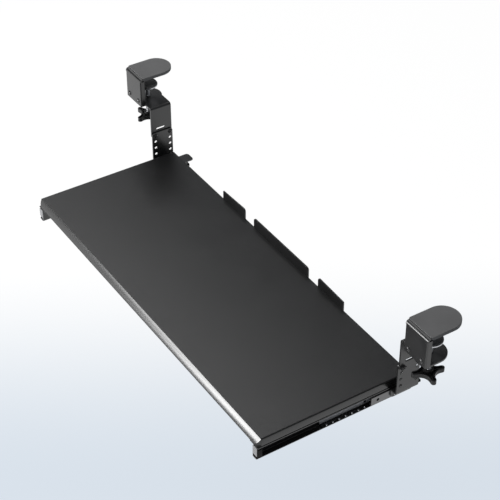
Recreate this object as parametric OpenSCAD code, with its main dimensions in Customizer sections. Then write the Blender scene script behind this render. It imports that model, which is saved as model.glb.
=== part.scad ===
// Clamp-on keyboard tray for the front edge of a desk.
// Two screw clamps carry hanging brackets, and the tray rides between them on
// a ball-bearing slide at each side. Millimetres. +X is the width, -Y faces
// the user and +Z is up. The origin lies on the top front edge of the desk,
// midway between the clamps. The right side is modelled, the left mirrors it.
// The tray is drawn fully pulled out.

/* [Desk] */
// Thickness of the desk that the jaws close on
desk_t = 22; // [8:0.5:34]

/* [Tray board] */
// Width of the board
tray_w = 686; // [560:1:800]
// Depth of the board, front to rear
tray_d = 266.5; // [240:0.5:290]
// Thickness of the board
tray_t = 15; // [12:0.5:18]
// Depth of the sloping face along the board's front
slope_in = 6.5; // [4:0.5:8]
// Height of the upright foot below that face
slope_foot = 4.5; // [4:0.5:6]
// Radius of the other long edges
edge_r = 3; // [1:0.5:4]
// Radius of the front corners, seen from above
corner_r = 10; // [4:1:20]

/* [Rear stop] */
// Thickness of the stop's sheet
stop_t = 2; // [1.5:0.5:3]
// Height of the upstands above the board
stop_h = 18; // [12:1:24]
// Length of the centre upstand
stop_centre_l = 158.5; // [120:0.5:180]
// Length of each outer upstand
stop_outer_l = 68.5; // [50:0.5:90]
// Gap between the centre and an outer upstand
stop_gap = 27.5; // [15:0.5:40]
// Fall of an outer upstand towards its outer end
stop_fall = 3; // [0:0.5:6]
// Corner radius of the upstands
stop_r = 5; // [2:1:8]

/* [Slide] */
// How far the tray pushes in
travel = 190; // [150:5:200]
// Height of the moving channel
channel_h = 23; // [22:0.5:32]
// Thickness of the whole slide, from web to web
slide_t = 13; // [12.5:0.5:16]
// Sheet thickness of both slide members
slide_sheet = 1; // [0.8:0.1:1.5]
// Diameter of the bearing balls
ball_d = 3.2; // [3:0.1:4]
// Gap between a ball and each race
ball_gap = 0.05; // [0.02:0.01:0.1]
// Spacing of the balls along the cage
ball_pitch = 11.4; // [9:0.2:14]
// Number of balls in each race
ball_count = 14; // [12:1:16]
// Sheet thickness of the ball cage
cage_sheet = 0.6; // [0.5:0.1:0.8]
// Length of the fixed rail
rail_l = 84; // [80:1:110]
// Reach of the fixed rail in front of its bracket
rail_lead = 33.5; // [25:0.1:40]
// Thickness of the front bumper
bumper_t = 8; // [5:0.5:12]
// Thickness of the rear bumper
rear_bumper_t = 3; // [2:0.5:5]
// Reach of the rear bumper's nose behind the channel
nose_l = 5.5; // [4:0.5:10]
// Width of the strip that carries the channel
strip_w = 21.5; // [20:0.5:26]
// Thickness of that strip
strip_t = 1.5; // [1:0.5:2]
// Reach of that strip behind the channel
strip_tail = 9; // [8:0.5:14]

/* [Lower bracket] */
// Width of the hanging plates, front to rear
plate_w = 40.5; // [40:0.5:50]
// Sheet thickness of the lower bracket
lower_t = 2.5; // [2:0.5:3]
// Height of the lower bracket above its shelf
lower_h = 61; // [60:0.5:80]
// Inward step between the plate and its leg
step_in = 10; // [9:0.5:14]
// Length of the leg below the shelf
leg_l = 14; // [13:0.5:15]
// Vertical spacing of the height holes
hole_pitch = 12.7; // [10:0.1:14]
// Number of rows of height holes
hole_rows = 4; // [2:1:4]
// Distance from the front edge to the first column of height holes
hole_in = 6.5; // [6:0.5:8]
// Spacing of the two columns of height holes
hole_span = 29; // [26:0.5:29]
// Row of holes in use, counted from the top
height_row = 0; // [0:1:3]

/* [Jaw bracket] */
// Sheet thickness of the clamp and of its jaw bracket
clamp_t = 3; // [2.5:0.5:4]
// Depth of the clamp's mouth below the desk top
mouth_h = 47.5; // [44:0.5:60]
// Length of the hanging plate below the jaw
hang_l = 59; // [54:1:80]
// Distance from the hanging plate to the clamp
clamp_out = 18; // [16:0.5:30]
// Length of the slot in the hanging plate
slot_l = 18; // [12:1:24]
// Height of that slot
slot_h = 4.5; // [3.5:0.5:7]

/* [Clamp] */
// Width of the clamp
clamp_w = 50; // [40:1:60]
// Depth of the clamp's side flanges
flange_d = 8.5; // [7:0.5:12]
// Reach of the top jaw behind the desk edge
tongue_reach = 62.5; // [55:0.5:80]
// Wall of the rubber sleeve round the top jaw
sleeve_t = 1.5; // [1:0.1:3]
// Distance from the desk edge to the screw
screw_in = 19; // [18.5:0.5:24]

/* [Clamp screw] */
// Diameter of the clamp screw
screw_d = 8; // [6:0.5:10]
// Running gap round the screw in its nut and socket
screw_gap = 0.05; // [0.02:0.01:0.1]
// Diameter of the pressure plate
press_d = 36; // [28:1:38]
// Thickness of the pressure plate
press_t = 2; // [1.5:0.5:3]
// Thickness of the grip pad on it
grip_t = 2; // [1:0.5:3]
// Height of the socket under the pressure plate
socket_h = 5; // [4:0.5:7]
// Length of screw between the socket and the knob
screw_l = 53; // [52:1:60]
// Diameter of the knob over its lobes
knob_d = 50.5; // [44:0.5:56]
// Height of the knob
knob_h = 7; // [6:0.5:12]
// Wall of the knob
knob_wall = 1.8; // [1.2:0.1:2.4]
// Rise of the knob's hub above its lobes
hub_rise = 4; // [2:0.5:8]
// Angle at which the knob stands
knob_turn = -16; // [-45:1:45]

/* [Hidden] */
$fn = 48;
eps = 0.01;

// Clearances and small parts
bolt_r = 2.5;
hole_gap = 0.25;
snug = 0.05;
bend_r = 1.5;
clamp_bend_r = 2;
rest_gap = 0.3;
stop_slack = 0.5;
pan_h = 2.2;
pan_r = 4;
nut_af = 8;
nut_h = 4;
thin_nut_h = 2.2;
edge_gap = 5.5;
plate_r = 5;

// Heights, from the desk top down
jaw_top = -mouth_h;
jaw_low = jaw_top - clamp_t;
hang_low = jaw_low - hang_l;
bolt_z = hang_low + edge_gap;
lower_top = bolt_z + edge_gap + 0.5 + height_row * hole_pitch;
shelf_low = lower_top - lower_h;
rail_z = shelf_low - 8.5;
strip_low = rail_z + channel_h / 2;
tray_low = strip_low + strip_t;
tray_top = tray_low + tray_t;

// Places across the width
side_x = tray_w / 2;
leg_x = side_x;
plate_x = leg_x + lower_t + step_in;
hang_x = plate_x + lower_t;
clamp_x = hang_x + clamp_out;
clamp_mid = clamp_x + clamp_w / 2;
web_x = side_x - slide_t;

// Slide section: races and members about the slide's middle
race_margin = 1.9;
ball_r = ball_d / 2;
race_r = ball_r + ball_gap;
ring_r = race_r + slide_sheet;
race_z = channel_h / 2 - ring_r;
race_x = side_x - race_margin - ring_r;
rail_half = race_z - race_r;
race_lip = 0.8;
cage_half = race_z + cage_sheet / 2;
cage_x = web_x + slide_sheet + 0.6;
cage_tip = race_x + race_r - 0.2;
tab_half = 7.5;
tab_rise = 2.4;
tab_out = side_x - 2;
bumper_half = 7.5;
bumper_out = side_x - 1.5;

// Slide along the depth, with the tray pulled out
rail_front = -rail_lead;
rail_rear = rail_front + rail_l;
channel_rear = rail_rear + rest_gap + rear_bumper_t;
channel_front = rail_front - stop_slack - travel - bumper_t - slide_sheet;
channel_l = channel_rear - channel_front;
tray_front = channel_front;
tray_rear = tray_front + tray_d;
ball_run = (ball_count - 1) * ball_pitch;
cage_l = ball_run + 16.4;
cage_rear = rail_rear - 4.7;
cage_front = cage_rear - cage_l;
first_ball = cage_front + (cage_l - ball_run) / 2;
balls_y = [for (i = [0 : ball_count - 1]) first_ball + i * ball_pitch];

// Fasteners along the depth
bolt_ys = [hole_in, hole_in + hole_span];
rail_hole_y = rail_front + 12;
leg_screw_ys = [plate_w / 2 - 11, plate_w / 2 + 11];
strip_screw_x = (side_x - strip_w + web_x) / 2;
strip_screw_ys = [tray_front + 28, (tray_front + tray_rear) / 2, tray_rear - 28];
stop_screw_xs = [-140, -40, 40, 140];
jaw_screw_xs = [clamp_mid - 15, clamp_mid + 15];
jaw_screw_z = jaw_top + 5.5;

// Clamp screw and what it carries
grip_top = -desk_t;
press_top = grip_top - grip_t;
socket_top = press_top - press_t;
socket_low = socket_top - socket_h;
screw_r = screw_d / 2;
socket_floor = socket_top - 1;
knob_top = socket_low - screw_l;
knob_low = knob_top - knob_h;
knob_floor = 2;
knob_r = knob_d / 2;
lobe_r = 4;
scallop_r = knob_r * 0.6;
scallop_at = knob_r * 1.08;
hub_r = screw_r + 3.5;
sleeve_front = clamp_bend_r + clamp_t - flange_d + snug;

// Colours
steel_black = [0.09, 0.09, 0.10];
board_black = [0.06, 0.06, 0.065];
rubber_black = [0.04, 0.04, 0.04];
zinc = [0.72, 0.73, 0.75];
chrome = [0.85, 0.86, 0.88];
plastic_black = [0.05, 0.05, 0.055];

// Helpers

// Draws its children at the right, or mirrored at the left
module at_left() mirror([1, 0, 0]) children();

// Stands a section drawn in X and Z up, running from y0 along Y
module along_y(y0, length) {
    translate([0, y0, 0]) rotate([90, 0, 0]) mirror([0, 0, 1]) linear_extrude(length) children();
}

// Lays a section drawn in Y and Z across X, starting at x0
module along_x(x0, length) {
    translate([x0, 0, 0]) rotate([90, 0, 90]) linear_extrude(length) children();
}

// A quarter ring round a point, in the quadrant that the two signs name
module bend(at, inner, sheet, sx, sy) {
    translate(at) intersection() {
        difference() {
            circle(inner + sheet);
            circle(inner);
        }
        scale_to_quadrant(inner + sheet, sx, sy);
    }
}

module scale_to_quadrant(size, sx, sy) {
    translate([sx > 0 ? 0 : -size, sy > 0 ? 0 : -size]) square(size);
}

// A rectangle from corner to corner
module box2(a, b) {
    translate([min(a[0], b[0]), min(a[1], b[1])]) square([abs(b[0] - a[0]), abs(b[1] - a[1])]);
}

// A rectangle with its four corners rounded
module round_box2(a, b, r) {
    box2([a[0] + r, a[1]], [b[0] - r, b[1]]);
    box2([a[0], a[1] + r], [b[0], b[1] - r]);
    for (x = [a[0] + r, b[0] - r], y = [a[1] + r, b[1] - r]) translate([x, y]) circle(r);
}

// A pin along X, from x0 to x1
module pin_x(x0, x1, y, z, r) {
    translate([x0, y, z]) rotate([0, 90, 0]) cylinder(h = x1 - x0, r = r);
}

// A pin along Y, from y0 to y1
module pin_y(x, y0, y1, z, r) {
    translate([x, y1, z]) rotate([90, 0, 0]) cylinder(h = y1 - y0, r = r);
}

// A hexagonal prism along X, with a bore
module hex_x(x0, h, y, z, af, bore_r) {
    difference() {
        translate([x0, y, z]) rotate([0, 90, 0]) cylinder(h = h, r = af / sqrt(3), $fn = 6);
        pin_x(x0 - 1, x0 + h + 1, y, z, bore_r);
    }
}

// Tray

module tray_board() color(board_black) difference() {
    intersection() {
        along_x(-side_x, tray_w) board_section();
        along_y(tray_front - eps, tray_d + 2 * eps) board_width();
        translate([0, 0, tray_low - 1]) linear_extrude(tray_t + 2) board_plan();
    }
    for (s = [-1, 1], y = strip_screw_ys)
        translate([s * strip_screw_x, y, tray_low - 1]) cylinder(h = tray_t - 3, r = 1.75 + snug);
    for (x = stop_screw_xs) pin_y(x, tray_rear - 12, tray_rear + 1, tray_low + tray_t / 2, 1.5 + snug);
}

// Front to rear section of the board, with its sloping front
module board_section() {
    foot_top = tray_low + slope_foot;
    polygon([[tray_rear, tray_low], [tray_rear, tray_top], [tray_front + slope_in, tray_top],
             [tray_front, foot_top], [tray_front, tray_low + edge_r], [tray_front + edge_r, tray_low]]);
    intersection() {
        translate([tray_front + edge_r, tray_low + edge_r]) circle(edge_r);
        box2([tray_front, tray_low], [tray_front + edge_r, tray_low + edge_r]);
    }
}

// Side to side section of the board, with its eased edges
module board_width() round_box2([-side_x, tray_low], [side_x, tray_top], edge_r);

module board_plan() {
    round_box2([-side_x, tray_front], [side_x, tray_rear - corner_r], corner_r);
    round_box2([-side_x, tray_front + corner_r], [side_x, tray_rear], edge_r);
}

// Half the rear stop's outline, seen from behind
module stop_half() {
    inner = stop_centre_l / 2;
    outer = inner + stop_gap;
    end = outer + stop_outer_l;
    top = tray_top + stop_h;
    box2([0, tray_low + 1], [end, tray_top - 2]);
    box2([0, tray_top - 2 - eps], [inner, top - stop_r]);
    box2([0, top - stop_r - eps], [inner - stop_r, top]);
    translate([inner - stop_r, top - stop_r]) circle(stop_r);
    difference() {
        union() {
            box2([outer, tray_top - 2 - eps], [end, top - stop_r]);
            box2([outer + stop_r, top - stop_r - eps], [end - stop_r, top]);
            for (x = [outer + stop_r, end - stop_r]) translate([x, top - stop_r]) circle(stop_r);
        }
        polygon([[outer, top], [end, top - stop_fall], [end + 1, top + 1], [outer, top + 1]]);
    }
}

module rear_stop() color(steel_black) difference() {
    along_y(tray_rear, stop_t) {
        stop_half();
        mirror([1, 0]) stop_half();
    }
    for (x = stop_screw_xs) pin_y(x, tray_rear - 1, tray_rear + 4, tray_low + tray_t / 2, 1.5 + hole_gap);
}

module rear_stop_screws() color(zinc) for (x = stop_screw_xs) {
    pin_y(x, tray_rear - 11, tray_rear + stop_t, tray_low + tray_t / 2, 1.5);
    pin_y(x, tray_rear + stop_t, tray_rear + stop_t + 1.8, tray_low + tray_t / 2, 3);
}

// Clamp

// Plan of a jaw: straight sides and a round rear end
module jaw_plan(front, reach, inset) {
    r = clamp_w / 2 - inset;
    box2([clamp_mid - r, front], [clamp_mid + r, reach - inset - r]);
    translate([clamp_mid, reach - inset - r]) circle(r);
}

module clamp_plate() color(steel_black) {
    top = sleeve_t + clamp_t;
    out = clamp_bend_r + clamp_t;
    difference() {
        union() {
            intersection() {
                along_x(clamp_x, clamp_w) {
                    box2([-flange_d, jaw_low], [-flange_d + clamp_t, top - out]);
                    bend([-flange_d + out, top - out], clamp_bend_r, clamp_t, -1, 1);
                    box2([-flange_d + out, sleeve_t], [tongue_reach, top]);
                }
                translate([0, 0, jaw_low - 1]) linear_extrude(mouth_h + 20)
                    jaw_plan(-flange_d, tongue_reach, 0);
            }
            translate([0, 0, jaw_top]) linear_extrude(mouth_h - 1.5) clamp_channel_plan();
        }
        for (x = jaw_screw_xs) pin_y(x, -flange_d - 1, 0, jaw_screw_z, bolt_r + hole_gap);
        for (s = [0, 1]) translate([clamp_mid + (s == 0 ? -1 : 1) * clamp_w / 2, -flange_d, jaw_low - 1])
            mirror([s, 0, 0]) corner_cut(mouth_h + clamp_t - 0.5);
    }
}

// Rounds the clamp's upright front corners
module corner_cut(h) {
    linear_extrude(h) difference() {
        translate([-1, -1]) square(clamp_bend_r + 1);
        translate([clamp_bend_r, clamp_bend_r]) circle(clamp_bend_r);
    }
}

// Front plate and side flanges, seen from above
module clamp_channel_plan() {
    box2([clamp_x, -flange_d], [clamp_x + clamp_w, -flange_d + clamp_t]);
    box2([clamp_x, -flange_d], [clamp_x + clamp_t, 0]);
    box2([clamp_x + clamp_w - clamp_t, -flange_d], [clamp_x + clamp_w, 0]);
}

// Sleeve slipped over the top jaw, with its front corners rounded and its
// underside cut back to the desk edge
module jaw_sleeve() color(rubber_black) difference() {
    linear_extrude(clamp_t + 2 * sleeve_t) sleeve_plan();
    translate([0, 0, sleeve_t]) linear_extrude(clamp_t) jaw_plan(-flange_d, tongue_reach, -snug);
    translate([clamp_x - clamp_w, -flange_d, -1]) cube([3 * clamp_w, flange_d, sleeve_t + 1]);
}

module sleeve_plan() {
    r = clamp_w / 2 + sleeve_t;
    mid = tongue_reach - clamp_w / 2;
    round_box2([clamp_mid - r, sleeve_front], [clamp_mid + r, mid], 3);
    box2([clamp_mid - r, mid / 2], [clamp_mid + r, mid]);
    translate([clamp_mid, mid]) circle(r);
}

module jaw_bracket() color(steel_black) {
    out = clamp_bend_r + clamp_t;
    front = -flange_d + clamp_t;
    up_front = [clamp_x + clamp_t + 1, clamp_x + clamp_w - clamp_t - 1];
    difference() {
        union() {
            translate([0, 0, jaw_low]) linear_extrude(clamp_t) {
                jaw_plan(front, screw_in + clamp_w / 2, 0);
                box2([hang_x + out, 0], [clamp_mid, plate_w]);
            }
            translate([0, front, jaw_top - eps]) linear_extrude(12.5 + eps)
                box2([up_front[0], 0], [up_front[1], clamp_t]);
            along_y(0, plate_w) bend([hang_x + out, jaw_top - out], clamp_bend_r, clamp_t, -1, 1);
            along_x(hang_x, clamp_t) hanging_outline(jaw_top - out);
        }
        translate([clamp_mid, screw_in, jaw_low - 1]) cylinder(h = clamp_t + 2, r = screw_r + 0.5);
        for (x = jaw_screw_xs) pin_y(x, -flange_d, 0, jaw_screw_z, bolt_r + hole_gap);
        for (y = bolt_ys) pin_x(hang_x - 1, hang_x + clamp_t + 1, y, bolt_z, bolt_r + hole_gap);
    }
}

// Hanging plate with its slot, seen from the side
module hanging_outline(top) {
    slot_z = bolt_z + 11.5;
    slot_y = hole_in + hole_span / 2 - 2.5;
    difference() {
        union() {
            box2([0, hang_low + plate_r], [plate_w, top]);
            round_box2([0, hang_low], [plate_w, top - plate_r], plate_r);
        }
        round_box2([slot_y - slot_l / 2, slot_z - slot_h / 2],
                   [slot_y + slot_l / 2, slot_z + slot_h / 2], slot_h / 2 - eps);
    }
}

module jaw_screws() color(zinc) for (x = jaw_screw_xs) {
    y0 = -flange_d + 2 * clamp_t;
    pin_y(x, -flange_d, y0 + thin_nut_h, jaw_screw_z, bolt_r);
    pin_y(x, -flange_d - pan_h, -flange_d, jaw_screw_z, pan_r);
    difference() {
        translate([x, y0 + thin_nut_h, jaw_screw_z]) rotate([90, 0, 0])
            cylinder(h = thin_nut_h, r = nut_af / sqrt(3), $fn = 6);
        pin_y(x, y0 - 1, y0 + thin_nut_h + 1, jaw_screw_z, bolt_r - eps);
    }
}

module clamp_nut() color(zinc) translate([clamp_mid, screw_in, jaw_low - 6.5]) difference() {
    cylinder(h = 6.5, r = (screw_d + 5) / sqrt(3), $fn = 6);
    translate([0, 0, -1]) cylinder(h = 9, r = screw_r + screw_gap);
}

// Lower bracket and fixed rail

module lower_bracket() color(steel_black) {
    out = bend_r + lower_t;
    shelf_top = shelf_low + lower_t;
    leg_low = shelf_low - leg_l;
    difference() {
        union() {
            along_y(0, plate_w) {
                bend([hang_x - out, shelf_low + out], bend_r, lower_t, 1, -1);
                box2([leg_x + out, shelf_low], [hang_x - out, shelf_top]);
                bend([leg_x + out, shelf_top - out], bend_r, lower_t, -1, 1);
            }
            along_x(plate_x, lower_t) {
                box2([0, shelf_low + out], [plate_w, lower_top - plate_r]);
                round_box2([0, shelf_low + out + 1], [plate_w, lower_top], plate_r);
            }
            along_x(leg_x, lower_t) {
                box2([0, leg_low + plate_r], [plate_w, shelf_top - out]);
                intersection() {
                    round_box2([0, leg_low], [plate_w, shelf_top], plate_r);
                    box2([0, leg_low], [plate_w, shelf_top - out]);
                }
            }
        }
        for (y = bolt_ys, i = [0 : hole_rows - 1])
            pin_x(plate_x - 1, hang_x + 1, y, lower_top - edge_gap - 0.5 - i * hole_pitch,
                  bolt_r + hole_gap);
        for (y = leg_screw_ys) pin_x(leg_x - 1, leg_x + lower_t + 1, y, rail_z, 2 + hole_gap);
    }
}

module height_bolts() color(zinc) for (y = bolt_ys) {
    pin_x(plate_x, hang_x + clamp_t + nut_h + 1, y, bolt_z, bolt_r);
    pin_x(plate_x - pan_h, plate_x, y, bolt_z, pan_r);
}

module height_nuts() color(zinc) for (y = bolt_ys)
    hex_x(hang_x + clamp_t, nut_h, y, bolt_z, nut_af, bolt_r + snug);

// One race of the fixed rail, above the slide's middle
module rail_race() {
    intersection() {
        translate([race_x, race_z]) difference() {
            circle(ring_r);
            circle(race_r);
        }
        box2([race_x - ring_r, 0], [race_x + ring_r, race_z - race_lip]);
    }
    box2([race_x, rail_half - slide_sheet], [side_x, rail_half]);
}

module fixed_rail() color(zinc) difference() {
    translate([0, 0, rail_z]) along_y(rail_front, rail_l) {
        box2([side_x - slide_sheet, -rail_half], [side_x, rail_half]);
        rail_race();
        mirror([0, 1]) rail_race();
    }
    pin_x(side_x - 3, side_x + 1, rail_hole_y, rail_z, 2.5);
    for (y = leg_screw_ys) pin_x(side_x - 3, side_x + 1, y, rail_z, 2 + snug);
}

module rail_screws() color(zinc) for (y = leg_screw_ys) {
    pin_x(side_x - slide_sheet - 0.5, leg_x + lower_t, y, rail_z, 2);
    pin_x(leg_x + lower_t, leg_x + lower_t + pan_h, y, rail_z, 3.5);
}

// Ball cage, balls and moving channel

module ball_cage() color(zinc) difference() {
    translate([0, 0, rail_z]) along_y(cage_front, cage_l) {
        box2([cage_x, -cage_half], [cage_x + cage_sheet, cage_half]);
        for (s = [-1, 1]) box2([cage_x, s * (cage_half - cage_sheet)], [cage_tip, s * cage_half]);
    }
    for (y = balls_y) translate([race_x, y, rail_z - channel_h / 2])
        cylinder(h = channel_h, r = ball_r + 0.1);
    along_x(cage_x - 1, cage_sheet + 2) {
        round_box2([cage_front + 9, rail_z - 1.75], [cage_front + 16, rail_z + 1.75], 1.7);
        round_box2([rail_front - 6.5, rail_z - 7], [rail_front - 1, rail_z + 7], 1);
    }
}

module balls() color(chrome) for (y = balls_y, s = [-1, 1])
    translate([race_x, y, rail_z + s * race_z]) sphere(ball_r);

// One lip of the moving channel, above the slide's middle
module channel_lip() {
    half = channel_h / 2;
    box2([web_x + 2, half - slide_sheet], [race_x, half]);
    bend([web_x + 2, half - 2], 2 - slide_sheet, slide_sheet, -1, 1);
    bend([race_x, race_z], race_r, slide_sheet, 1, 1);
}

module drawer_channel() color(steel_black) translate([0, 0, rail_z]) {
    along_y(channel_front, channel_l) {
        box2([web_x, 2 - channel_h / 2], [web_x + slide_sheet, channel_h / 2 - 2]);
        channel_lip();
        mirror([0, 1]) channel_lip();
    }
    along_y(channel_front, slide_sheet)
        round_box2([web_x, tab_rise - tab_half], [tab_out, tab_rise + tab_half], 1.5);
}

module mounting_strip() color(steel_black) difference() {
    translate([side_x - strip_w, channel_front + 1, strip_low]) linear_extrude(strip_t) {
        box2([0, 0], [strip_w, channel_l]);
        round_box2([0, channel_l / 2], [strip_w, channel_l - 1 + strip_tail], 5);
    }
    for (y = strip_screw_ys) translate([strip_screw_x, y, strip_low - 1])
        cylinder(h = strip_t + 2, r = 1.75 + hole_gap);
}

module strip_screws() color(zinc) for (y = strip_screw_ys) translate([strip_screw_x, y, 0]) {
    translate([0, 0, strip_low]) cylinder(h = strip_t + 10, r = 1.75);
    translate([0, 0, strip_low - pan_h]) cylinder(h = pan_h, r = 3.2);
}

module bumpers() color(plastic_black) translate([0, 0, rail_z]) {
    along_y(channel_front + slide_sheet, bumper_t) bumper_section();
    along_y(channel_rear - rear_bumper_t, rear_bumper_t) bumper_section();
    along_y(channel_rear - eps, nose_l + eps)
        round_box2([web_x + slide_sheet, 0.5 - bumper_half], [bumper_out, -1.5], 2);
}

module bumper_section() round_box2([web_x + slide_sheet, -bumper_half], [bumper_out, bumper_half], 1.5);

// Pressure pad, screw and knob

module grip_pad() color(rubber_black) translate([clamp_mid, screw_in, press_top])
    cylinder(h = grip_t, r = press_d / 2 - 1);

module pressure_plate() color(zinc) translate([clamp_mid, screw_in, 0]) difference() {
    union() {
        translate([0, 0, socket_top]) cylinder(h = press_t, r = press_d / 2);
        translate([0, 0, socket_low]) cylinder(h = socket_h, r = screw_r + 3);
    }
    translate([0, 0, socket_low - 1]) cylinder(h = socket_floor - socket_low + 1, r = screw_r + screw_gap);
}

module clamp_screw() color(zinc) translate([clamp_mid, screw_in, knob_low + knob_floor])
    cylinder(h = socket_floor - 0.1 - knob_low - knob_floor, r = screw_r);

// Four-lobed outline of the knob, drawn in by the inset
module knob_outline(inset) {
    intersection() {
        difference() {
            circle(knob_r - inset);
            for (a = [45 : 90 : 315]) rotate(a) translate([scallop_at, 0]) circle(scallop_r + inset);
        }
        union() {
            circle(knob_r - lobe_r - inset / 2);
            for (a = [0 : 90 : 270]) rotate(a) translate([knob_r - lobe_r, 0]) circle(lobe_r - inset);
        }
    }
}

module knob() color(plastic_black) translate([clamp_mid, screw_in, knob_low]) difference() {
    rotate(knob_turn) {
        difference() {
            linear_extrude(knob_h) knob_outline(0);
            translate([0, 0, knob_floor]) linear_extrude(knob_h) knob_outline(knob_wall);
        }
        cylinder(h = knob_h + hub_rise, r = hub_r);
        for (a = [0 : 90 : 270]) rotate(a) translate([hub_r - 1, -0.6, 0])
            cube([knob_r - knob_wall / 2 - hub_r + 1, 1.2, knob_h - 1.5]);
    }
    translate([0, 0, knob_floor]) cylinder(h = knob_h + hub_rise, r = screw_r + snug);
}

tray_board();
rear_stop();
rear_stop_screws();
at_left() clamp_plate();  // left_clamp_plate
clamp_plate();  // right_clamp_plate
at_left() jaw_sleeve();  // left_jaw_sleeve
jaw_sleeve();  // right_jaw_sleeve
at_left() jaw_bracket();  // left_jaw_bracket
jaw_bracket();  // right_jaw_bracket
at_left() jaw_screws();  // left_jaw_screws
jaw_screws();  // right_jaw_screws
at_left() clamp_nut();  // left_clamp_nut
clamp_nut();  // right_clamp_nut
at_left() lower_bracket();  // left_lower_bracket
lower_bracket();  // right_lower_bracket
at_left() height_bolts();  // left_height_bolts
height_bolts();  // right_height_bolts
at_left() height_nuts();  // left_height_nuts
height_nuts();  // right_height_nuts
at_left() fixed_rail();  // left_fixed_rail
fixed_rail();  // right_fixed_rail
at_left() rail_screws();  // left_rail_screws
rail_screws();  // right_rail_screws
at_left() ball_cage();  // left_ball_cage
ball_cage();  // right_ball_cage
at_left() balls();  // left_balls
balls();  // right_balls
at_left() drawer_channel();  // left_drawer_channel
drawer_channel();  // right_drawer_channel
at_left() mounting_strip();  // left_mounting_strip
mounting_strip();  // right_mounting_strip
at_left() strip_screws();  // left_strip_screws
strip_screws();  // right_strip_screws
at_left() bumpers();  // left_bumpers
bumpers();  // right_bumpers
at_left() grip_pad();  // left_grip_pad
grip_pad();  // right_grip_pad
at_left() pressure_plate();  // left_pressure_plate
pressure_plate();  // right_pressure_plate
at_left() clamp_screw();  // left_clamp_screw
clamp_screw();  // right_clamp_screw
at_left() knob();  // left_knob
knob();  // right_knob
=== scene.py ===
"""Looks of the clamp-on keyboard tray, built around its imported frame."""
import math

import bmesh
import bpy
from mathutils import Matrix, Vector


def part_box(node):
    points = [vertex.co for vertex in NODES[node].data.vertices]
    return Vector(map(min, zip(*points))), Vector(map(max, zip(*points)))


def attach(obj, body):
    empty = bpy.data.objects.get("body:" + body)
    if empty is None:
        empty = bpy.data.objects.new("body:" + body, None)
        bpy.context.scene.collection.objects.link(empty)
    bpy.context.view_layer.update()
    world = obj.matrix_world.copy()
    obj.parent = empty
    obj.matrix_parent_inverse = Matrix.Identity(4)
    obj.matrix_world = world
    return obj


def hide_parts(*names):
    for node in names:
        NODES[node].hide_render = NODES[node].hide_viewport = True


bl_info = {
    "name": "Keyboard Tray Looks",
    "version": (1, 0, 0),
    "blender": (4, 5, 0),
    "location": "3D View > Sidebar > Tray",
    "description": "Finishes, fasteners, threads and stage for a clamp-on keyboard tray",
    "category": "Object",
}

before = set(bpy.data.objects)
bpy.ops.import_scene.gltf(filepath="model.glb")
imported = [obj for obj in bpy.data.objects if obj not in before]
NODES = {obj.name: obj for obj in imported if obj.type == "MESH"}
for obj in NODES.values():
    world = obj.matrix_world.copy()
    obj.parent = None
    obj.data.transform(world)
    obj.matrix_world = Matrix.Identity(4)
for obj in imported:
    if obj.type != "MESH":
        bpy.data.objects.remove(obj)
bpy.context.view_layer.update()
SIDES = (("left", -1), ("right", 1))

# Lengths are in metres

BALL_PITCH = 0.0114
BALL_SEGMENTS, BALL_RINGS = 20, 12

# Radii by which edges are rounded
BOARD_ROUND = 0.0006
SHEET_ROUND = 0.0003
SLEEVE_ROUND = 0.0007
GRIP_ROUND = 0.0004
BUMPER_ROUND = 0.0005

# Kinds of fastener
BRACKET_BOLT = {"Head_Radius": 0.004, "Head_Height": 0.0022, "Shaft_Radius": 0.0025, "Nut_Width": 0.008}
RAIL_SCREW = {"Head_Radius": 0.0035, "Head_Height": 0.0022, "Shaft_Radius": 0.002}
STRIP_SCREW = {"Head_Radius": 0.0032, "Head_Height": 0.0022, "Shaft_Radius": 0.00175}
STOP_SCREW = {"Head_Radius": 0.003, "Head_Height": 0.0018, "Shaft_Radius": 0.0015}
THIN_NUT, TALL_NUT = 0.0022, 0.004
JAW_STACK = 0.006
STOP_SCREW_SHARES = (-1, -2 / 7, 2 / 7, 1)

THREAD_SIDES = 28
RINGS_PER_TURN = 6.0

# Depths of the band on the board's sides, of the painted shade on the cage's lower lip and of the painted
# highlight on the channel's front face
SIDE_BAND = 0.0013
SHADED_LIP = 0.001
LIT_FACE = 0.0004

# Scale of the broad tone in every finish
BROAD_SCALE = 14.0

# Angles past which an edge is sharp, on a grown piece and on a copy of a frame node
GROWN_SHARP = math.radians(32)
COPY_SHARP = math.radians(40)
FLAT_ENOUGH = math.radians(1.0)
SAME_PLACE = 0.00001

# The camera looks along its turn about Z and its tilt below the horizon
CAMERA_PLACE = (1.61468, -1.06363, 1.38814)
CAMERA_TURN, CAMERA_TILT = math.radians(57.25), math.radians(38.0)
SENSOR_WIDTH, LENS_LENGTH, LENS_REACH = 36, 109.7, 200

# The floor's height and half width, and the way along it in which it grows pale
FLOOR_LEVEL, FLOOR_HALF = -0.75, 30
PALE_X, PALE_Y = -0.841, 0.541
PALE_FROM, PALE_TO = 0.08, 0.82

# Strengths of the world as a light and as the camera sees it, and of the floor's own light
WORLD_LIGHT, WORLD_SEEN = 0.14, 1.1
FLOOR_GLOW, GLOW_SHARE = 1.06, 0.9

# Softboxes: name, place, target, width and height, watts
SOFTBOXES = (("overhead", (-1.6, -0.05, 1.5), (-1.6, -0.05, 0.0), (2.6, 1.7), 18),
             ("fill", (0.5, -1.2, 2.0), (0.05, -0.1, -0.14), (1.4, 1.4), 22))
# Softboxes in front share their right edge: width and strength of each
FRONT_BOXES = ((1.2, 1.5), (0.9, 0.9), (0.65, 0.5))
FRONT_RIGHT, FRONT_Y, FRONT_Z, FRONT_HEIGHT = -0.55, -2.15, -0.33, 0.8
FRONT_TARGET = (0.15, -0.23, -0.145)


# Small helpers

def link(ob):
    bpy.context.scene.collection.objects.link(ob)
    return ob


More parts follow.
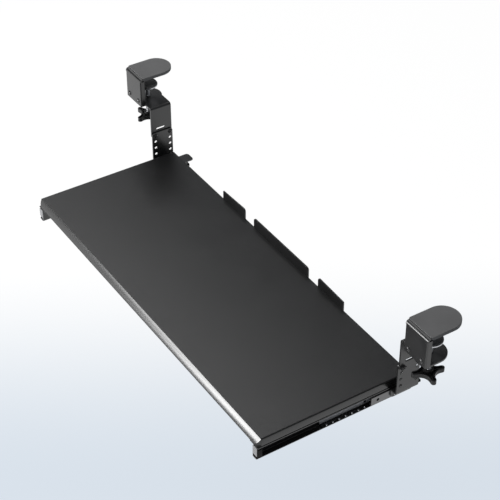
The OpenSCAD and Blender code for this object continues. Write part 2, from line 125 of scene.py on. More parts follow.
def add(tree, kind, settings=None, **inputs):
    """A node with its properties and input values; a socket as a value is linked."""
    node = tree.nodes.new(kind)
    for key, value in (settings or {}).items():
        setattr(node, key, value)
    for key, value in inputs.items():
        numbered = key[0] == "i" and key[1:].isdigit()
        socket = node.inputs[int(key[1:]) if numbered else key.replace("_", " ")]
        for one in value if isinstance(value, list) else [value]:
            if isinstance(one, bpy.types.NodeSocket):
                tree.links.new(one, socket)
            else:
                socket.default_value = one
    return node


def math_node(tree, operation, a, b=0.0):
    return add(tree, "ShaderNodeMath", {"operation": operation}, i0=a, i1=b).outputs[0]


def object_place(tree):
    """Object coordinates, split into their three sockets."""
    place = add(tree, "ShaderNodeTexCoord").outputs["Object"]
    return add(tree, "ShaderNodeSeparateXYZ", Vector=place).outputs


def spread(tree, value, low, high):
    """Maps a tone of about 0.3 to 0.7 to low and high."""
    return add(tree, "ShaderNodeMapRange", {"clamp": True}, Value=value, From_Min=0.3, From_Max=0.7,
               To_Min=low, To_Max=high).outputs[0]


def step(tree, value, at, soft):
    """Goes from 0 to 1 where a value passes a limit, or from 1 to 0 where soft is negative."""
    return add(tree, "ShaderNodeMapRange", Value=value, From_Min=at - soft, From_Max=at + soft).outputs[0]


def blend_colour(tree, share, a, b):
    node = add(tree, "ShaderNodeMix", {"data_type": "RGBA"}, Factor=share)
    colours = [socket for socket in node.inputs if socket.type == "RGBA"]
    for socket, value in zip(colours, (a, b)):
        if isinstance(value, bpy.types.NodeSocket):
            tree.links.new(value, socket)
        else:
            socket.default_value = (*value, 1)
    return [socket for socket in node.outputs if socket.type == "RGBA"][0]


def blend_value(tree, share, a, b):
    return add(tree, "ShaderNodeMix", {"data_type": "FLOAT"}, Factor=share, A=a, B=b).outputs[0]


def new_tree(name, kind, inputs, outputs):
    """An empty node tree with its sockets, and its two end nodes."""
    tree = bpy.data.node_groups.new(name, kind)
    for label, socket_type, default in inputs:
        socket = tree.interface.new_socket(label, in_out="INPUT", socket_type=socket_type)
        if default is not None:
            socket.default_value = default
    for label, socket_type in outputs:
        tree.interface.new_socket(label, in_out="OUTPUT", socket_type=socket_type)
    return tree, tree.nodes.new("NodeGroupInput"), tree.nodes.new("NodeGroupOutput")


# Shader groups

FLOAT, VECTOR = "NodeSocketFloat", "NodeSocketVector"


def grain_group():
    """Fine grain in object space: a height and a tone from 0 to 1."""
    tree, start, end = new_tree(
        "Fine Grain", "ShaderNodeTree",
        [("Scale", FLOAT, 900.0), ("Stretch", VECTOR, (1, 1, 1)), ("Roughness", FLOAT, 0.6)],
        [("Height", FLOAT), ("Tone", FLOAT)])
    place = add(tree, "ShaderNodeTexCoord").outputs["Object"]
    stretched = add(tree, "ShaderNodeVectorMath", {"operation": "MULTIPLY"}, i0=place,
                    i1=start.outputs["Stretch"]).outputs[0]
    fine = add(tree, "ShaderNodeTexNoise", Vector=stretched, Scale=start.outputs["Scale"],
               Detail=3.0, Roughness=start.outputs["Roughness"])
    broad = add(tree, "ShaderNodeTexNoise", Vector=stretched, Scale=BROAD_SCALE, Detail=4.0, Roughness=0.55)
    tree.links.new(fine.outputs["Fac"], end.inputs["Height"])
    tree.links.new(broad.outputs["Fac"], end.inputs["Tone"])
    return tree


def edge_group():
    """Softened normals at edges, and a mask that is 1 on the edges."""
    tree, start, end = new_tree(
        "Soft Edges", "ShaderNodeTree", [("Radius", FLOAT, 0.0006), ("Sharpness", FLOAT, 6.0)],
        [("Normal", VECTOR), ("Edge", FLOAT)])
    soft = add(tree, "ShaderNodeBevel", {"samples": 6}, Radius=start.outputs["Radius"]).outputs[0]
    flat = add(tree, "ShaderNodeNewGeometry").outputs["Normal"]
    dot = add(tree, "ShaderNodeVectorMath", {"operation": "DOT_PRODUCT"}, i0=soft, i1=flat).outputs["Value"]
    mask = add(tree, "ShaderNodeMath", {"operation": "MULTIPLY", "use_clamp": True},
               i0=math_node(tree, "SUBTRACT", 1.0, dot), i1=start.outputs["Sharpness"]).outputs[0]
    tree.links.new(soft, end.inputs["Normal"])
    tree.links.new(mask, end.inputs["Edge"])
    return tree


GROUPS = {}


def group(tree, name, **inputs):
    """A shader group in a material, with its own values."""
    if name not in GROUPS:
        GROUPS[name] = {"Fine Grain": grain_group, "Soft Edges": edge_group}[name]()
    node = add(tree, "ShaderNodeGroup", {"node_tree": GROUPS[name]})
    for key, value in inputs.items():
        node.inputs[key].default_value = value
    return node


# Finishes

def new_material(name, values):
    """A material whose shader holds the given values."""
    mat = bpy.data.materials.new(name)
    mat.use_nodes = True
    shader = mat.node_tree.nodes["Principled BSDF"]
    for socket, value in values.items():
        shader.inputs[socket].default_value = value
    return mat, mat.node_tree, shader


def bump(tree, shader, height, depth, normal):
    node = add(tree, "ShaderNodeBump", Height=height, Distance=depth, Strength=1.0, Normal=normal)
    tree.links.new(node.outputs[0], shader.inputs["Normal"])


def finish(name, colour, rough, metallic=0.0, grain=900.0, stretch=(1, 1, 1), depth=0.00004,
           tint=0.18, edge_radius=0.0005, wear=None, specular=0.5):
    """A finish: tone over the surface, rough and fine grain, soft edges and edge wear."""
    mat, tree, shader = new_material(name, {"Metallic": metallic, "Specular IOR Level": specular})
    texture = group(tree, "Fine Grain", Scale=grain, Stretch=stretch)
    edges = group(tree, "Soft Edges", Radius=edge_radius)
    dark = tuple(c * (1 - tint) for c in colour)
    pale = tuple(min(1, c * (1 + tint)) for c in colour)
    face = blend_colour(tree, spread(tree, texture.outputs["Tone"], 0.0, 1.0), dark, pale)
    if wear:
        patchy = spread(tree, texture.outputs["Height"], 0.2, 0.9)
        face = blend_colour(tree, math_node(tree, "MULTIPLY", edges.outputs["Edge"], patchy), face, wear)
    tree.links.new(face, shader.inputs["Base Color"])
    tree.links.new(spread(tree, texture.outputs["Tone"], *rough), shader.inputs["Roughness"])
    bump(tree, shader, texture.outputs["Height"], depth, edges.outputs["Normal"])
    return mat


FINISHES = {}


def look(name):
    """A finish by its name, made when it is first asked for."""
    if name not in FINISHES:
        s = bpy.context.scene.tray_finishes
        make = {
            "laminate": lambda: laminate(s),
            "powder coat": lambda: finish(
                "Powder Coat", tuple(s.steel), (0.27, 0.36), grain=1100, depth=s.coat_texture,
                wear=(0.07, 0.07, 0.072), edge_radius=0.0004, specular=1.0),
            "rubber": lambda: finish(
                "Pad Rubber", tuple(s.rubber), (0.6, 0.72), grain=1400, depth=0.00006, tint=0.12,
                edge_radius=0.0008),
            "black oxide": lambda: finish(
                "Black Oxide", (0.016, 0.016, 0.017), (0.28, 0.4), grain=1500, depth=0.00001,
                wear=(0.06, 0.06, 0.062), edge_radius=0.0003, specular=0.9),
            "rail zinc": lambda: finish(
                "Dull Zinc", tuple(s.rail), (0.3, 0.46), metallic=1.0, grain=420,
                stretch=(6, 0.25, 6), depth=0.000012, tint=0.14, edge_radius=0.0003),
            "cage": lambda: cage_with_painted_shade(s),
            "channel coat": lambda: channel_coat(s),
            "bright zinc": lambda: finish(
                "Bright Zinc", tuple(s.zinc), (0.25, 0.38), metallic=1.0, grain=900,
                depth=0.000008, tint=0.12, edge_radius=0.0001),
            "ball": lambda: finish(
                "Bearing Steel", (0.85, 0.86, 0.88), (0.16, 0.22), metallic=1.0, grain=600,
                depth=0.000001, tint=0.03, edge_radius=0.0001),
            "bumper": lambda: finish(
                "Bumper Plastic", (0.006, 0.006, 0.006), (0.4, 0.5), grain=1200, depth=0.00002,
                edge_radius=0.0006, specular=0.15),
            "knob": lambda: finish(
                "Knob Plastic", tuple(s.knob), (0.33, 0.45), grain=1300, depth=0.00003,
                wear=(0.05, 0.05, 0.052), edge_radius=0.0008),
        }[name]
        FINISHES[name] = make()
    return FINISHES[name]


def laminate(s):
    """Grained black laminate, a glossy band on the board's front and sides, and a dull foot in front
    darkened as painted shade.
    """
    mat, tree, shader = new_material("Board Laminate", {"Specular IOR Level": s.board_gloss})
    x, y, z = object_place(tree)
    low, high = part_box("tray_board")
    front = step(tree, y, low.y + s.front_band, -0.0001)
    side = step(tree, math_node(tree, "ABSOLUTE", x), high.x - SIDE_BAND, 0.0003)
    band = math_node(tree, "MAXIMUM", front, side)
    foot = math_node(tree, "MULTIPLY", front, step(tree, z, low.z + s.front_foot, -0.0001))
    texture = group(tree, "Fine Grain", Scale=s.board_grain, Roughness=0.7)
    edges = group(tree, "Soft Edges", Radius=0.0005)

    colour = tuple(s.board)
    face = blend_colour(tree, spread(tree, texture.outputs["Tone"], 0.0, 1.0),
                        tuple(c * 0.9 for c in colour), tuple(c * 1.1 for c in colour))
    speck = spread(tree, texture.outputs["Height"], 0.0, 0.12)
    face = blend_colour(tree, speck, face, (0.03, 0.03, 0.03))
    face = blend_colour(tree, band, face, tuple(s.edge_band))
    # Painted shade: the foot below the front band is made darker than the board
    face = blend_colour(tree, foot, face, (0.004, 0.004, 0.004))
    tree.links.new(face, shader.inputs["Base Color"])

    rough = blend_value(tree, band, spread(tree, texture.outputs["Tone"], 0.29, 0.34),
                        spread(tree, texture.outputs["Height"], 0.22, 0.26))
    tree.links.new(blend_value(tree, foot, rough, 0.75), shader.inputs["Roughness"])
    off_band = math_node(tree, "SUBTRACT", 1.0, band)
    height = math_node(tree, "MULTIPLY", texture.outputs["Height"], off_band)
    bump(tree, shader, height, 0.00008, edges.outputs["Normal"])
    return mat


def over(mat, share, colour):
    """Lays a colour over a finish where the share is 1."""
    tree = mat.node_tree
    socket = tree.nodes["Principled BSDF"].inputs["Base Color"]
    tree.links.new(blend_colour(tree, share, socket.links[0].from_socket, colour), socket)


def cage_with_painted_shade(s):
    """Pale steel, with painted shade darkening the lower lip round the balls."""
    mat = finish("Cage With Painted Shade", tuple(s.cage), (0.45, 0.6), metallic=0.2, grain=420, stretch=(6, 0.25, 6),
                 depth=0.000012, tint=0.2, edge_radius=0.0003)
    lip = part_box("left_ball_cage")[0].z + SHADED_LIP
    # Painted shade: the lower lip round the balls is made near black
    over(mat, step(mat.node_tree, object_place(mat.node_tree)["Z"], lip, -0.0002), (0.006, 0.006, 0.006))
    return mat


def channel_coat(s):
    """Powder coat on the channel, with a painted highlight making the front face of the tab at its front
    pale.
    """
    mat = finish("Channel Coat", tuple(s.steel), (0.27, 0.36), grain=1100, depth=s.coat_texture,
                 edge_radius=0.0004, specular=1.0)
    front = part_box("left_drawer_channel")[0].y + LIT_FACE
    # Painted highlight: the tab's front face is made pale grey
    over(mat, step(mat.node_tree, object_place(mat.node_tree)["Y"], front, -0.0001), (0.28, 0.28, 0.285))
    return mat


def dress(node, name):
    """Gives a frame node its finish."""
    ob = NODES[node]
    ob.data.materials.clear()
    ob.data.materials.append(look(name))


def stand_for(ob, body, slot, *nodes):
    """Ties a piece to its body, and lets it stand in for frame nodes. The slot is not used."""
    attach(ob, body)
    if nodes:
        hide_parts(*nodes)
    return ob


# Geometry trees

GEO = "NodeSocketGeometry"


def point_tree(name, **sizes):
    """A geometry tree that takes points, sizes and a finish."""
    inputs = [("Geometry", GEO, None)]
    inputs += [(label.replace("_", " "), FLOAT, size) for label, size in sizes.items()]
    inputs.append(("Finish", "NodeSocketMaterial", None))
    return new_tree(name, "GeometryNodeTree", inputs, [("Geometry", GEO)])


def plant(tree, start, end, mesh, **turn):
    """Sets a mesh on each point and gives it the finish, as the end of a tree."""
    placed = add(tree, "GeometryNodeInstanceOnPoints", Points=start.outputs["Geometry"], Instance=mesh,
                 **turn).outputs[0]
    real = add(tree, "GeometryNodeRealizeInstances", Geometry=placed).outputs[0]
    done = add(tree, "GeometryNodeSetMaterial", Geometry=real, Material=start.outputs["Finish"]).outputs[0]
    tree.links.new(done, end.inputs[0])
    return tree


def fastener_tree():
    """Pan-head screws with a cross recess, and a chamfered nut where its height is not 0."""
    tree, start, end = point_tree(
        "Fastener Set", Head_Radius=0.004, Head_Height=0.0022, Shaft_Radius=0.0025, Shaft_Length=0.01,
        Nut_Width=0.008, Nut_Height=0.0, Nut_Place=0.0)
    g = start.outputs

    def times(value, share):
        return math_node(tree, "MULTIPLY", value, share)

    def move(mesh, z):
        offset = add(tree, "ShaderNodeCombineXYZ", Z=z).outputs[0]
        return add(tree, "GeometryNodeTransform", Geometry=mesh, Translation=offset).outputs[0]

    def bar(x, y, z):
        size = add(tree, "ShaderNodeCombineXYZ", X=x, Y=y, Z=z).outputs[0]
        return add(tree, "GeometryNodeMeshCube", Size=size).outputs["Mesh"]

    def rod(sides, radius, depth):
        return add(tree, "GeometryNodeMeshCylinder", Vertices=sides, Radius=radius,
                   Depth=depth).outputs["Mesh"]

    def sphere(radius):
        return add(tree, "GeometryNodeMeshUVSphere", Segments=32, Rings=24, Radius=radius).outputs["Mesh"]

    def cut(kind, *meshes):
        node = add(tree, "GeometryNodeMeshBoolean", {"operation": kind, "solver": "EXACT"})
        if kind == "DIFFERENCE":
            tree.links.new(meshes[0], node.inputs[0])
            meshes = meshes[1:]
        for mesh in meshes:
            tree.links.new(mesh, node.inputs[1])
        return node.outputs[0]

    blank = move(rod(32, g["Head Radius"], g["Head Height"]), times(g["Head Height"], 0.5))
    dome_radius = times(g["Head Radius"], 1.5)
    dome = move(sphere(dome_radius), math_node(tree, "SUBTRACT", g["Head Height"], dome_radius))
    arm, thickness = times(g["Head Radius"], 1.05), times(g["Head Radius"], 0.26)
    cross = [move(bar(a, b, g["Head Height"]), g["Head Height"])
             for a, b in ((arm, thickness), (thickness, arm))]
    head = cut("DIFFERENCE", cut("INTERSECT", blank, dome), *cross)
    shaft = move(rod(20, g["Shaft Radius"], g["Shaft Length"]), times(g["Shaft Length"], -0.5))

    nut_radius = math_node(tree, "DIVIDE", g["Nut Width"], math.sqrt(3))
    nut = cut("INTERSECT", rod(6, nut_radius, g["Nut Height"]), sphere(times(nut_radius, 1.08)))
    nut_middle = math_node(tree, "ADD", g["Nut Place"], times(g["Nut Height"], 0.5))
    has_nut = add(tree, "FunctionNodeCompare", {"data_type": "FLOAT", "operation": "GREATER_THAN"},
                  A=g["Nut Height"], B=0.00001).outputs[0]
    choice = add(tree, "GeometryNodeSwitch", {"input_type": "GEOMETRY"}, Switch=has_nut)
    tree.links.new(move(nut, times(nut_middle, -1.0)), choice.inputs["True"])

    whole = add(tree, "GeometryNodeJoinGeometry", Geometry=[head, shaft, choice.outputs[0]]).outputs[0]
    aim = add(tree, "GeometryNodeInputNamedAttribute", {"data_type": "FLOAT_VECTOR"}, Name="aim").outputs[0]
    turn = add(tree, "FunctionNodeAlignRotationToVector", {"axis": "Z"}, Vector=aim).outputs[0]
    return plant(tree, start, end, whole, Rotation=turn)


def ball_tree():
    """A bearing ball on every point."""
    tree, start, end = point_tree("Ball Row", Radius=0.00175)
    ball = add(tree, "GeometryNodeMeshUVSphere", Segments=BALL_SEGMENTS, Rings=BALL_RINGS,
               Radius=start.outputs["Radius"]).outputs["Mesh"]
    return plant(tree, start, end, ball)


def thread_tree():
    """A screw thread along Z, cut into a rod from its bottom end up."""
    tree, start, end = point_tree("Screw Thread", Radius=0.004, Length=0.06, Pitch=0.00125, Depth=0.0007)
    g = start.outputs

    def calc(operation, a, b=0.0):
        return math_node(tree, operation, a, b)

    rings = calc("MULTIPLY", calc("DIVIDE", g["Length"], g["Pitch"]), RINGS_PER_TURN)
    rod = add(tree, "GeometryNodeMeshCylinder", Vertices=THREAD_SIDES, Side_Segments=rings,
              Radius=g["Radius"], Depth=g["Length"]).outputs["Mesh"]
    place = add(tree, "GeometryNodeInputPosition").outputs[0]
    x, y, z = add(tree, "ShaderNodeSeparateXYZ", Vector=place).outputs
    turn = calc("DIVIDE", calc("ARCTAN2", y, x), 2 * math.pi)
    phase = calc("FRACT", calc("SUBTRACT", calc("DIVIDE", z, g["Pitch"]), turn))
    wave = calc("MULTIPLY", calc("ABSOLUTE", calc("SUBTRACT", phase, 0.5)), 2.0)
    shrink = calc("SUBTRACT", 1.0, calc("DIVIDE", calc("MULTIPLY", wave, g["Depth"]), g["Radius"]))
    moved = add(tree, "ShaderNodeCombineXYZ", X=calc("MULTIPLY", x, shrink),
                Y=calc("MULTIPLY", y, shrink), Z=z).outputs[0]
    cut = add(tree, "GeometryNodeSetPosition", Geometry=rod, Position=moved).outputs[0]
    return plant(tree, start, end, cut)


TREES = {}


def kept_mesh(ob):
    """Turns what an object's modifiers make into its plain mesh."""
    graph = bpy.context.evaluated_depsgraph_get()
    mesh = bpy.data.meshes.new_from_object(ob.evaluated_get(graph))
    ob.modifiers.clear()
    ob.data = mesh
    return mesh


def grow(name, tree_name, points, aim=None, **values):
    """Runs a geometry tree on a few points and keeps the result as a plain mesh."""
    if tree_name not in TREES:
        makers = {"fasteners": fastener_tree, "balls": ball_tree, "thread": thread_tree}
        TREES[tree_name] = makers[tree_name]()
    tree = TREES[tree_name]
    seed = bpy.data.meshes.new(name + " points")
    seed.from_pydata([tuple(point) for point in points], [], [])
    if aim:
        aims = seed.attributes.new("aim", "FLOAT_VECTOR", "POINT")
        aims.data.foreach_set("vector", aim * len(points))
    ob = link(bpy.data.objects.new(name, seed))
    tool = ob.modifiers.new("Grow", "NODES")
    tool.node_group = tree
    names = {item.name: item.identifier for item in tree.interface.items_tree if item.in_out == "INPUT"}
    for key, value in values.items():
        tool[names[key.replace("_", " ")]] = value
    mesh = kept_mesh(ob)
    mesh.name = name
    if not len(mesh.polygons):
        raise RuntimeError(f"{name} came out empty")
    mesh.shade_smooth()
    mesh.set_sharp_from_angle(angle=GROWN_SHARP)
    return ob


def fasten(name, kind, points, aim, finish_name, body, slot, *nodes, **sizes):
    """One kind of fastener at each point, its head aimed one way, in place of frame nodes."""
    ob = grow(name, "fasteners", points, aim, **kind, **sizes, Finish=look(finish_name))
    return stand_for(ob, body, slot, *nodes)


def softened(node, name, width, finish_name, even=False):
    """A merged copy of a frame node with its edges rounded, by the full width everywhere where even."""
    mesh = NODES[node].data.copy()
    mesh.materials.clear()
    work = bmesh.new()
    work.from_mesh(mesh)
    bmesh.ops.remove_doubles(work, verts=work.verts, dist=SAME_PLACE)
    bmesh.ops.dissolve_limit(work, angle_limit=FLAT_ENOUGH, verts=work.verts, edges=work.edges)
    work.to_mesh(mesh)
    work.free()
    if mesh.attributes.get("custom_normal"):
        mesh.attributes.remove(mesh.attributes["custom_normal"])
    mesh.shade_smooth()
    mesh.set_sharp_from_angle(angle=COPY_SHARP)
    ob = link(bpy.data.objects.new(name, mesh))
    bevel = ob.modifiers.new("Round", "BEVEL")
    bevel.width, bevel.segments = width, 3 if even else 2
    bevel.limit_method, bevel.angle_limit = "ANGLE", COPY_SHARP
    bevel.use_clamp_overlap = not even
    bevel.harden_normals = True
    kept_mesh(ob).materials.append(look(finish_name))
    return ob


def round_off(node, name, body, slot, width, finish_name, even=False):
    """Stands a softened copy in for a frame node."""
    return stand_for(softened(node, name, width, finish_name, even), body, slot, node)


def row_ends(low, high):
    """Places along Y of the first and the last round head in a box."""
    radius = (high.z - low.z) / 2
    return low.y + radius, high.y - radius


# Settings

def colour_prop(name, default, description):
    return bpy.props.FloatVectorProperty(name=name, description=description, default=default,
                                         subtype="COLOR", min=0, max=1, size=3)


def length_prop(name, default, low, high, description):
    return bpy.props.FloatProperty(name=name, description=description, default=default, min=low, max=high,
                                   subtype="DISTANCE", unit="LENGTH")


class TrayFinishes(bpy.types.PropertyGroup):
    board: colour_prop("Board", (0.01, 0.01, 0.0103), "Colour of the board's laminate")
    edge_band: colour_prop("Edge Band", (0.012, 0.012, 0.012), "Colour of the band round the board's edges")
    steel: colour_prop("Coated Steel", (0.012, 0.012, 0.0125), "Colour of the coat on clamps and brackets")
    rubber: colour_prop("Rubber", (0.16, 0.16, 0.161), "Colour of the rubber on the jaws")
    rail: colour_prop("Rails", (0.22, 0.22, 0.222), "Colour of the fixed rails")
    cage: colour_prop("Ball Cages", (0.8, 0.8, 0.81), "Colour of the oiled ball cages")
    zinc: colour_prop("Zinc", (0.6, 0.61, 0.63), "Colour of the plated screws")
    knob: colour_prop("Knob", (0.014, 0.014, 0.015), "Colour of the moulded knobs")
    front_band: length_prop("Front Band", 0.0065, 0, 0.02, "Depth of the glossy band along the front")
    front_foot: length_prop("Front Foot", 0.0042, 0, 0.01, "Height of the dull foot below the band")
    board_gloss: bpy.props.FloatProperty(
        name="Board Gloss", description="Strength of the board's reflections", default=0.8, min=0, max=1,
        subtype="FACTOR")
    board_grain: bpy.props.FloatProperty(
        name="Board Grain", description="Grains per metre on the laminate", default=1500, min=300, max=4000)
    coat_texture: length_prop("Coat Texture", 0.00002, 0, 0.0003, "Depth of the powder coat's orange peel")


class TrayFasteners(bpy.types.PropertyGroup):
    thread_pitch: length_prop("Thread Pitch", 0.00125, 0.0005, 0.003, "Rise of the clamp screw in one turn")
    thread_depth: length_prop("Thread Depth", 0.0007, 0.0001, 0.0012, "Depth of the clamp screw's thread")
    knob_round: length_prop("Knob Rounding", 0.0006, 0.0001, 0.002, "Radius along the knob's edges")


class TrayStage(bpy.types.PropertyGroup):
    backdrop: colour_prop("Backdrop", (0.681, 0.744, 0.815), "Colour of the floor and backdrop")
    front_power: bpy.props.FloatProperty(
        name="Front Power", description="Watts for each metre of a front softbox, before its own strength",
        default=12.5, min=0, max=100)


# Pieces

class TRAY_OT_board(bpy.types.Operator):
    """Finishes the board and its rear stop"""
    bl_idname = "tray.board"
    bl_label = "Board and Rear Stop"

    def execute(self, context):
        round_off("tray_board", "rounded_tray_board", "tray", "board_laminate", BOARD_ROUND, "laminate")
        round_off("rear_stop", "rounded_rear_stop", "tray", "coated_steel", SHEET_ROUND, "powder coat")
        return {"FINISHED"}


class TRAY_OT_clamps(bpy.types.Operator):
    """Finishes the clamps, their pads and the hanging brackets"""
    bl_idname = "tray.clamps"
    bl_label = "Clamps and Brackets"

    def execute(self, context):
        for side, _ in SIDES:
            for part in ("clamp_plate", "jaw_bracket", "lower_bracket"):
                round_off(f"{side}_{part}", f"{side}_rounded_{part}", "desk_frame", "coated_steel",
                          SHEET_ROUND, "powder coat")
            round_off(f"{side}_jaw_sleeve", f"{side}_rubber_sleeve", "desk_frame", "pad_rubber",
                      SLEEVE_ROUND, "rubber", even=True)
            round_off(f"{side}_grip_pad", f"{side}_rubber_grip", f"{side}_foot", "pad_rubber",
                      GRIP_ROUND, "rubber")
        return {"FINISHED"}


class TRAY_OT_slides(bpy.types.Operator):
    """Finishes the slides and lays their bearing balls"""
    bl_idname = "tray.slides"
    bl_label = "Ball-Bearing Slides"

    def execute(self, context):
        finishes = {"fixed_rail": "rail zinc", "ball_cage": "cage", "drawer_channel": "channel coat",
                    "mounting_strip": "powder coat"}
        for side, _ in SIDES:
            for part, name in finishes.items():
                dress(f"{side}_{part}", name)
            round_off(f"{side}_bumpers", f"{side}_moulded_bumpers", "tray", "bumper_plastic",
                      BUMPER_ROUND, "bumper")
            low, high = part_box(f"{side}_balls")
            radius = (high.x - low.x) / 2
            reach = high.y - low.y - 2 * radius
            gaps = round(reach / BALL_PITCH)
            points = [((low.x + high.x) / 2, low.y + radius + i * reach / gaps, z)
                      for i in range(gaps + 1) for z in (low.z + radius, high.z - radius)]
            balls = grow(f"{side}_bearing_balls", "balls", points, Radius=radius, Finish=look("ball"))
            stand_for(balls, f"{side}_cage", "polished_steel", f"{side}_balls")
        return {"FINISHED"}


class TRAY_OT_fasteners(bpy.types.Operator):
    """Makes the screws, bolts and nuts"""
    bl_idname = "tray.fasteners"
    bl_label = "Screws and Nuts"

    def execute(self, context):
        for side, sign in SIDES:
            self.jaw_screws(side)
            self.height_bolts(side, sign)
            self.rail_screws(side, sign)
            self.strip_screws(side)
        self.stop_screws()
        return {"FINISHED"}

    def jaw_screws(self, side):
        low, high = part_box(f"{side}_jaw_screws")
        middle = (low + high) / 2
        reach = (high.x - low.x) / 2 - BRACKET_BOLT["Nut_Width"] / math.sqrt(3)
        seat = low.y + BRACKET_BOLT["Head_Height"]
        points = [(middle.x - reach, seat, middle.z), (middle.x + reach, seat, middle.z)]
        fasten(f"{side}_jaw_fasteners", BRACKET_BOLT, points, (0, -1, 0), "black oxide",
               "desk_frame", "dark_fastener", f"{side}_jaw_screws",
               Shaft_Length=high.y - seat, Nut_Height=THIN_NUT, Nut_Place=JAW_STACK)

    def height_bolts(self, side, sign):
        low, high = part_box(f"{side}_height_bolts")
        inner, outer = (low.x, high.x) if sign > 0 else (high.x, low.x)
        nut_low, nut_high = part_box(f"{side}_height_nuts")
        nut_face = nut_low.x if sign > 0 else nut_high.x
        seat = inner + sign * BRACKET_BOLT["Head_Height"]
        points = [(seat, y, (low.z + high.z) / 2) for y in row_ends(low, high)]
        fasten(f"{side}_bracket_bolts", BRACKET_BOLT, points, (-sign, 0, 0), "powder coat",
               "desk_frame", "dark_fastener", f"{side}_height_bolts", f"{side}_height_nuts",
               Shaft_Length=abs(outer - seat), Nut_Height=TALL_NUT, Nut_Place=abs(nut_face - seat))

    def rail_screws(self, side, sign):
        low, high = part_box(f"{side}_rail_screws")
        head = RAIL_SCREW["Head_Height"]
        seat = (high.x if sign > 0 else low.x) - sign * head
        points = [(seat, y, (low.z + high.z) / 2) for y in row_ends(low, high)]
        fasten(f"{side}_rail_fasteners", RAIL_SCREW, points, (sign, 0, 0), "bright zinc",
               "desk_frame", "zinc_fastener", f"{side}_rail_screws", Shaft_Length=high.x - low.x - head)

    def strip_screws(self, side):
        low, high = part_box(f"{side}_strip_screws")
        head, radius = STRIP_SCREW["Head_Height"], STRIP_SCREW["Head_Radius"]
        points = [((low.x + high.x) / 2, y, low.z + head)
                  for y in (low.y + radius, (low.y + high.y) / 2, high.y - radius)]
        fasten(f"{side}_strip_fasteners", STRIP_SCREW, points, (0, 0, -1), "bright zinc",
               "tray", "zinc_fastener", f"{side}_strip_screws", Shaft_Length=high.z - low.z - head)

    def stop_screws(self):
        low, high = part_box("rear_stop_screws")
        head = STOP_SCREW["Head_Height"]
        reach = (high.x - low.x) / 2 - STOP_SCREW["Head_Radius"]
        points = [(reach * share, high.y - head, (low.z + high.z) / 2) for share in STOP_SCREW_SHARES]
        fasten("rear_stop_fasteners", STOP_SCREW, points, (0, 1, 0), "bright zinc",
               "tray", "zinc_fastener", "rear_stop_screws", Shaft_Length=high.y - low.y - head)


class TRAY_OT_spindles(bpy.types.Operator):
    """Makes the threaded clamp screws and their knobs"""
    bl_idname = "tray.spindles"
    bl_label = "Clamp Screws and Knobs"

    def execute(self, context):
        s = context.scene.tray_fasteners
        for side, _ in SIDES:
            low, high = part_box(f"{side}_clamp_screw")
            rod = grow(f"{side}_threaded_rod", "thread", [(low + high) / 2], Radius=(high.x - low.x) / 2,
                       Length=high.z - low.z, Pitch=s.thread_pitch, Depth=s.thread_depth,
                       Finish=look("bright zinc"))
            stand_for(rod, f"{side}_spindle", "zinc_fastener", f"{side}_clamp_screw")
            round_off(f"{side}_knob", f"{side}_star_knob", f"{side}_spindle", "knob_plastic",
                      s.knob_round, "knob")
            dress(f"{side}_pressure_plate", "bright zinc")
            dress(f"{side}_clamp_nut", "bright zinc")
        return {"FINISHED"}


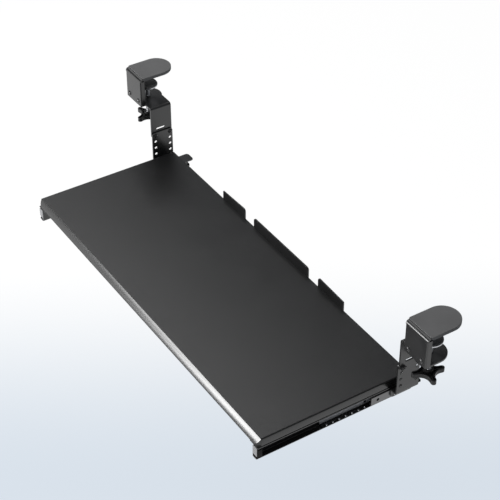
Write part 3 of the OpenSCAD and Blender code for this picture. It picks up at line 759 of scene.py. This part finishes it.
class TRAY_OT_stage(bpy.types.Operator):
    """Sets the floor, the softboxes and the camera"""
    bl_idname = "tray.stage"
    bl_label = "Stage"

    def execute(self, context):
        scene = context.scene
        s = scene.tray_stage
        scene.view_settings.view_transform = "Standard"
        mesh = bpy.data.meshes.new("floor")
        corners = [(x * FLOOR_HALF, y * FLOOR_HALF, FLOOR_LEVEL)
                   for x, y in ((-1, -1), (1, -1), (1, 1), (-1, 1))]
        mesh.from_pydata(corners, [], [(0, 1, 2, 3)])
        floor = link(bpy.data.objects.new("floor", mesh))
        floor.data.materials.append(self.backdrop(tuple(s.backdrop)))

        scene.world = self.studio()
        for name, place, target, size, power in SOFTBOXES:
            self.softbox(name, place, target, size, power)
        for width, strength in FRONT_BOXES:
            self.softbox(f"front {width}", (FRONT_RIGHT - width / 2, FRONT_Y, FRONT_Z), FRONT_TARGET,
                         (width, FRONT_HEIGHT), s.front_power * width * strength)

        lens = bpy.data.cameras.new("camera")
        lens.sensor_fit, lens.sensor_width, lens.lens = "HORIZONTAL", SENSOR_WIDTH, LENS_LENGTH
        lens.clip_end = LENS_REACH
        ahead = Vector((-math.sin(CAMERA_TURN) * math.cos(CAMERA_TILT),
                        math.cos(CAMERA_TURN) * math.cos(CAMERA_TILT), -math.sin(CAMERA_TILT)))
        scene.camera = link(bpy.data.objects.new("camera", lens))
        self.point(scene.camera, CAMERA_PLACE, ahead)
        return {"FINISHED"}

    def point(self, ob, place, ahead):
        """Puts a lamp or a camera at its place, looking ahead."""
        ob.location = place
        ob.rotation_mode = "QUATERNION"
        ob.rotation_quaternion = ahead.to_track_quat("-Z", "Y")

    def softbox(self, name, place, target, size, power):
        lamp = bpy.data.lights.new(name, "AREA")
        lamp.shape, lamp.size, lamp.size_y, lamp.energy = "RECTANGLE", size[0], size[1], power
        ob = link(bpy.data.objects.new(name, lamp))
        ob.visible_camera = False
        self.point(ob, place, Vector(target) - Vector(place))

    def studio(self):
        """A dim world that the camera sees as white above the floor."""
        world = bpy.data.worlds.new("Studio")
        world.use_nodes = True
        tree = world.node_tree
        background = tree.nodes["Background"]
        background.inputs["Color"].default_value = (0.92, 0.95, 1.0, 1)
        seen = add(tree, "ShaderNodeLightPath").outputs["Is Camera Ray"]
        strength = add(tree, "ShaderNodeMapRange", Value=seen, To_Min=WORLD_LIGHT,
                       To_Max=WORLD_SEEN).outputs[0]
        tree.links.new(strength, background.inputs["Strength"])
        return world

    def backdrop(self, colour):
        """Pale floor that shows its own colour and keeps the object's shadow."""
        mat, tree, shader = new_material("Backdrop", {"Roughness": 0.9, "Specular IOR Level": 0.0})
        x, y, _ = object_place(tree)
        away = math_node(tree, "ADD", math_node(tree, "MULTIPLY", y, PALE_Y),
                         math_node(tree, "MULTIPLY", x, PALE_X))
        share = add(tree, "ShaderNodeMapRange", {"interpolation_type": "SMOOTHSTEP"}, Value=away,
                    From_Min=PALE_FROM, From_Max=PALE_TO).outputs[0]
        shade = blend_colour(tree, share, colour, (1.0, 1.0, 1.0))
        tree.links.new(shade, shader.inputs["Base Color"])
        path = add(tree, "ShaderNodeLightPath").outputs
        glow = add(tree, "ShaderNodeEmission", Strength=FLOOR_GLOW)
        shown = blend_colour(tree, path["Is Glossy Ray"], shade, (0.8, 0.8, 0.8))
        tree.links.new(shown, glow.inputs["Color"])
        seen = math_node(tree, "MAXIMUM", path["Is Camera Ray"],
                         math_node(tree, "MAXIMUM", path["Is Glossy Ray"], path["Is Transmission Ray"]))
        mix = add(tree, "ShaderNodeMixShader", Fac=math_node(tree, "MULTIPLY", seen, GLOW_SHARE))
        tree.links.new(shader.outputs[0], mix.inputs[1])
        tree.links.new(glow.outputs[0], mix.inputs[2])
        tree.links.new(mix.outputs[0], tree.nodes["Material Output"].inputs["Surface"])
        return mat


OPERATORS = (TRAY_OT_board, TRAY_OT_clamps, TRAY_OT_slides, TRAY_OT_fasteners, TRAY_OT_spindles,
             TRAY_OT_stage)
SETTINGS = {"tray_finishes": TrayFinishes, "tray_fasteners": TrayFasteners, "tray_stage": TrayStage}


class TRAY_PT_sidebar(bpy.types.Panel):
    """Lists the pieces and the sizes and colours that they use"""
    bl_idname = "TRAY_PT_sidebar"
    bl_label = "Keyboard Tray"
    bl_space_type = "VIEW_3D"
    bl_region_type = "UI"
    bl_category = "Tray"

    def draw(self, context):
        for group_name in SETTINGS:
            settings = getattr(context.scene, group_name)
            box = self.layout.box()
            for name in settings.__annotations__:
                box.prop(settings, name)
        for operator in OPERATORS:
            self.layout.operator(operator.bl_idname)


CLASSES = (*SETTINGS.values(), *OPERATORS, TRAY_PT_sidebar)


def register():
    for cls in CLASSES:
        bpy.utils.register_class(cls)
    for name, cls in SETTINGS.items():
        setattr(bpy.types.Scene, name, bpy.props.PointerProperty(type=cls))


def unregister():
    for name in SETTINGS:
        delattr(bpy.types.Scene, name)
    for cls in reversed(CLASSES):
        bpy.utils.unregister_class(cls)


def main():
    register()
    for operator in OPERATORS:
        section, name = operator.bl_idname.split(".")
        getattr(getattr(bpy.ops, section), name)()


if __name__ == "__main__":
    main()
